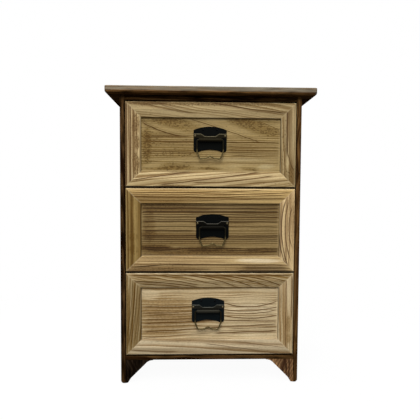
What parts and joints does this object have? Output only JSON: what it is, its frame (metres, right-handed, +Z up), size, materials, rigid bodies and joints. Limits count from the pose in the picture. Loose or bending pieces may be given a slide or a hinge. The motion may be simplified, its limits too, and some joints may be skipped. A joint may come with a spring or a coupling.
{
  "type": "drawer cabinet",
  "caption": "Small upright wooden cabinet with stacked sliding drawers, framed fronts, metal bail pulls, overhanging top and bracket feet.",
  "frame": {"origin": "on the floor, under the middle of the top board", "axes": "+Z up, -Y out of the drawer fronts, +X to the right as seen from the front"},
  "size_m": [0.293, 0.23, 0.4205],
  "materials": {
    "top_wood": "matt dark stain",
    "dark_wood": "matt dark stain",
    "front_wood": "matt, singed grain",
    "box_wood": "bare",
    "back_ply": "bare",
    "black_iron": "satin black",
    "bronze": "dark antique",
    "steel": "plain"
  },
  "bodies": {
    "cabinet": {"top_board": "top_wood", "left_side_panel": "dark_wood", "right_side_panel": "dark_wood", "back_panel": "back_ply", "bottom_board": "dark_wood", "front_top_rail": "dark_wood", "rear_top_rail": "box_wood", "left_foot_bracket": "dark_wood", "right_foot_bracket": "dark_wood", "lower_left_runner": "box_wood", "lower_right_runner": "box_wood", "middle_left_runner": "box_wood", "middle_right_runner": "box_wood", "upper_left_runner": "box_wood", "upper_right_runner": "box_wood", "carcass_pins": "steel", "back_panel_nails": "steel", "top_screws": "steel"},
    "lower_drawer": {"lower_frame_top": "front_wood", "lower_frame_bottom": "front_wood", "lower_frame_left": "front_wood", "lower_frame_right": "front_wood", "lower_front_panel": "front_wood", "lower_drawer_left_side": "box_wood", "lower_drawer_right_side": "box_wood", "lower_drawer_back": "box_wood", "lower_drawer_bottom": "back_ply", "lower_drawer_pins": "steel", "lower_pull_plate": "black_iron", "lower_pull_strap": "bronze", "lower_pull_pins": "black_iron"},
    "lower_bail": {"lower_pull_bail": "bronze"},
    "middle_drawer": {"middle_frame_top": "front_wood", "middle_frame_bottom": "front_wood", "middle_frame_left": "front_wood", "middle_frame_right": "front_wood", "middle_front_panel": "front_wood", "middle_drawer_left_side": "box_wood", "middle_drawer_right_side": "box_wood", "middle_drawer_back": "box_wood", "middle_drawer_bottom": "back_ply", "middle_drawer_pins": "steel", "middle_pull_plate": "black_iron", "middle_pull_strap": "bronze", "middle_pull_pins": "black_iron"},
    "middle_bail": {"middle_pull_bail": "bronze"},
    "upper_drawer": {"upper_frame_top": "front_wood", "upper_frame_bottom": "front_wood", "upper_frame_left": "front_wood", "upper_frame_right": "front_wood", "upper_front_panel": "front_wood", "upper_drawer_left_side": "box_wood", "upper_drawer_right_side": "box_wood", "upper_drawer_back": "box_wood", "upper_drawer_bottom": "back_ply", "upper_drawer_pins": "steel", "upper_pull_plate": "black_iron", "upper_pull_strap": "bronze", "upper_pull_pins": "black_iron"},
    "upper_bail": {"upper_pull_bail": "bronze"}
  },
  "joints": [
    {"name": "lower_drawer_slide", "type": "slide", "parent": "cabinet", "child": "lower_drawer", "axis": [0, -1, 0], "range_m": [0, 0.165]},
    {"name": "lower_bail_hinge", "type": "hinge", "parent": "lower_drawer", "child": "lower_bail", "pos_m": [-0.0029, -0.1027, 0.10398], "axis": [-1, 0, 0], "range_deg": [-4, 184]},
    {"name": "middle_drawer_slide", "type": "slide", "parent": "cabinet", "child": "middle_drawer", "axis": [0, -1, 0], "range_m": [0, 0.165]},
    {"name": "middle_bail_hinge", "type": "hinge", "parent": "middle_drawer", "child": "middle_bail", "pos_m": [0.0027, -0.1027, 0.22505], "axis": [-1, 0, 0], "range_deg": [-4, 184]},
    {"name": "upper_drawer_slide", "type": "slide", "parent": "cabinet", "child": "upper_drawer", "axis": [0, -1, 0], "range_m": [0, 0.165]},
    {"name": "upper_bail_hinge", "type": "hinge", "parent": "upper_drawer", "child": "upper_bail", "pos_m": [-0.0013, -0.1027, 0.34892], "axis": [-1, 0, 0], "range_deg": [-4, 184]}
  ]
}
